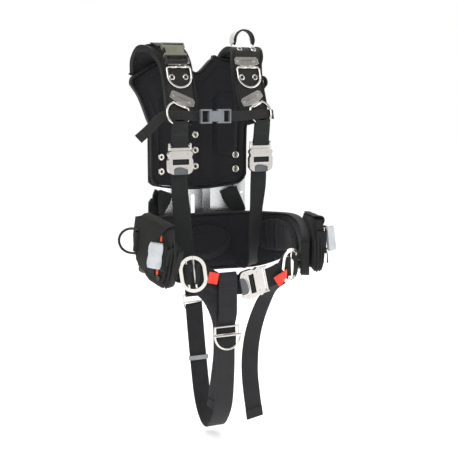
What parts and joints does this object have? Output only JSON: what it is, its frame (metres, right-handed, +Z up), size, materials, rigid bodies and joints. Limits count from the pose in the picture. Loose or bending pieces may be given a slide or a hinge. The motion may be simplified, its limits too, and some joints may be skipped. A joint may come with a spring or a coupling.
{
  "type": "diver's carrying harness",
  "caption": "Padded body harness on a steel backplate, with shoulder straps and rings, quick-release buckles, a waist belt with weight pockets and a crotch strap.",
  "frame": {"origin": "centre of the pattern of the two cylinder bolt slots, on the back face of the backplate", "axes": "+Z up along the wearer's back, -Y out of the wearer's chest, +X to the wearer's left"},
  "size_m": [0.5826, 0.3478, 1.0493],
  "materials": {
    "backplate_steel": "satin, with a light polish",
    "pad_mesh": "fine spacer mesh",
    "ring_steel": "polished stainless steel",
    "buckle_steel": "cast, lightly blasted",
    "tab_grey": "satin",
    "shoulder_cloth": "coated coarse weave",
    "pocket_cloth": "coated coarse weave",
    "webbing": "woven polyester webbing",
    "crotch_webbing": "woven webbing with fine cross ribs",
    "red_webbing": "woven webbing",
    "grip_grey": "moulded, fine texture",
    "handle_sleeve": "smooth sleeve over webbing",
    "clip_plastic": "moulded, satin",
    "chest_plastic": "moulded, satin",
    "ring_black": "black coated wire",
    "keeper_plastic": "moulded, satin"
  },
  "bodies": {
    "harness": {"backplate": "backplate_steel", "back_pad": "pad_mesh", "eyelets": "ring_steel", "shoulder_pad_l": "shoulder_cloth", "shoulder_pad_r": "shoulder_cloth", "upper_plate_l": "ring_steel", "upper_plate_r": "ring_steel", "lower_plate_l": "ring_steel", "lower_plate_r": "ring_steel", "plate_screws": "ring_steel", "round_ring_l": "ring_steel", "round_ring_r": "ring_steel", "clip_socket": "clip_plastic", "clip_web": "webbing", "chest_web_l": "webbing", "chest_web_r": "webbing", "chest_socket": "chest_plastic", "upper_web_l": "webbing", "upper_web_r": "webbing", "buckle_bar_l": "buckle_steel", "buckle_bar_r": "buckle_steel", "buckle_bar_w": "buckle_steel", "lower_web_l": "webbing", "lower_web_r": "webbing", "rear_webs": "webbing", "waist_belt": "pad_mesh", "belt_pads": "pad_mesh", "belt_web_l": "webbing", "belt_web_r": "webbing", "belt_ring_l": "ring_steel", "belt_ring_r": "ring_steel", "red_tabs": "red_webbing", "waist_web_l": "webbing", "waist_web_r": "webbing", "weight_pocket_l": "pocket_cloth", "weight_pocket_r": "pocket_cloth", "crotch_top": "crotch_webbing", "crotch_web": "crotch_webbing", "crotch_rear_web": "crotch_webbing", "crotch_slider": "ring_steel", "rear_slider": "ring_steel"},
    "d_ring_l": {"d_ring_l": "ring_steel"},
    "d_ring_r": {"d_ring_r": "ring_steel"},
    "lift_handle": {"lift_handle": "handle_sleeve"},
    "clip_plug": {"clip_plug": "clip_plastic"},
    "chest_plug": {"chest_plug": "chest_plastic"},
    "buckle_body_l": {"buckle_body_l": "buckle_steel"},
    "buckle_body_r": {"buckle_body_r": "buckle_steel"},
    "buckle_body_w": {"buckle_body_w": "buckle_steel"},
    "buckle_tab_l": {"buckle_tab_l": "tab_grey"},
    "buckle_tab_r": {"buckle_tab_r": "tab_grey"},
    "buckle_tab_w": {"buckle_tab_w": "tab_grey"},
    "pouch_l": {"pouch_l": "pocket_cloth"},
    "pull_handle_l": {"pull_handle_l": "grip_grey"},
    "pouch_r": {"pouch_r": "pocket_cloth"},
    "pull_handle_r": {"pull_handle_r": "grip_grey"},
    "pocket_ring_l": {"pocket_ring_l": "ring_black"},
    "pocket_ring_r": {"pocket_ring_r": "ring_black"},
    "crotch_ring": {"crotch_ring": "ring_steel"},
    "strap_keeper": {"strap_keeper": "keeper_plastic"}
  },
  "joints": [
    {"name": "d_ring_l_swing", "type": "hinge", "parent": "harness", "child": "d_ring_l", "pos_m": [-0.098, -0.13755, 0.25379], "axis": [-1, 0, 0], "range_deg": [0, 40]},
    {"name": "d_ring_r_swing", "type": "hinge", "parent": "harness", "child": "d_ring_r", "pos_m": [0.098, -0.13755, 0.25379], "axis": [-1, 0, 0], "range_deg": [0, 115]},
    {"name": "lift_handle_flip", "type": "hinge", "parent": "harness", "child": "lift_handle", "pos_m": [0.113, -0.078, 0.3145], "axis": [1, 0, 0], "range_deg": [-35, 35]},
    {"name": "clip_release", "type": "slide", "parent": "harness", "child": "clip_plug", "axis": [0, -0.5736, -0.8192], "range_m": [0, 0.01]},
    {"name": "chest_release", "type": "slide", "parent": "harness", "child": "chest_plug", "axis": [1, 0, 0], "range_m": [0, 0.025]},
    {"name": "buckle_l_release", "type": "slide", "parent": "harness", "child": "buckle_body_l", "axis": [0, 0, -1], "range_m": [0, 0.03]},
    {"name": "buckle_r_release", "type": "slide", "parent": "harness", "child": "buckle_body_r", "axis": [0, 0, -1], "range_m": [0, 0.03]},
    {"name": "buckle_w_release", "type": "slide", "parent": "harness", "child": "buckle_body_w", "axis": [-0.9781, 0, -0.2079], "range_m": [0, 0.007]},
    {"name": "buckle_l_tab", "type": "slide", "parent": "buckle_body_l", "child": "buckle_tab_l", "axis": [0, 0, 1], "range_m": [0, 0.003], "stiffness_N_per_m": 800},
    {"name": "buckle_r_tab", "type": "slide", "parent": "buckle_body_r", "child": "buckle_tab_r", "axis": [0, 0, 1], "range_m": [0, 0.003], "stiffness_N_per_m": 800},
    {"name": "buckle_w_tab", "type": "slide", "parent": "buckle_body_w", "child": "buckle_tab_w", "axis": [0.9781, 0, 0.2079], "range_m": [0, 0.003], "stiffness_N_per_m": 800},
    {"name": "pouch_l_draw", "type": "slide", "parent": "harness", "child": "pouch_l", "axis": [0.2433, -0.9474, -0.2079], "range_m": [0, 0.11]},
    {"name": "pull_l_flip", "type": "hinge", "parent": "pouch_l", "child": "pull_handle_l", "pos_m": [-0.22224, -0.32393, -0.18959], "axis": [-0.0517, 0.2014, -0.9781], "range_deg": [-30, 30]},
    {"name": "pouch_r_draw", "type": "slide", "parent": "harness", "child": "pouch_r", "axis": [-0.2487, -0.9686, 0], "range_m": [0, 0.11]},
    {"name": "pull_r_flip", "type": "hinge", "parent": "pouch_r", "child": "pull_handle_r", "pos_m": [0.22231, -0.32369, -0.178], "axis": [0, 0, 1], "range_deg": [-30, 30]},
    {"name": "pocket_ring_l_swing", "type": "hinge", "parent": "harness", "child": "pocket_ring_l", "pos_m": [-0.24855, -0.2271, -0.16622], "axis": [-0.0517, 0.2014, -0.9781], "range_deg": [-100, 20]},
    {"name": "pocket_ring_r_swing", "type": "hinge", "parent": "harness", "child": "pocket_ring_r", "pos_m": [0.24928, -0.22427, -0.176], "axis": [0, 0, 1], "range_deg": [-100, 20]},
    {"name": "crotch_ring_swing", "type": "hinge", "parent": "harness", "child": "crotch_ring", "pos_m": [-0.048, -0.322, -0.4], "axis": [-1, 0, 0], "range_deg": [0, 110]},
    {"name": "keeper_slide", "type": "slide", "parent": "harness", "child": "strap_keeper", "axis": [0, -0.1219, -0.9925], "range_m": [0, 0.015]}
  ]
}
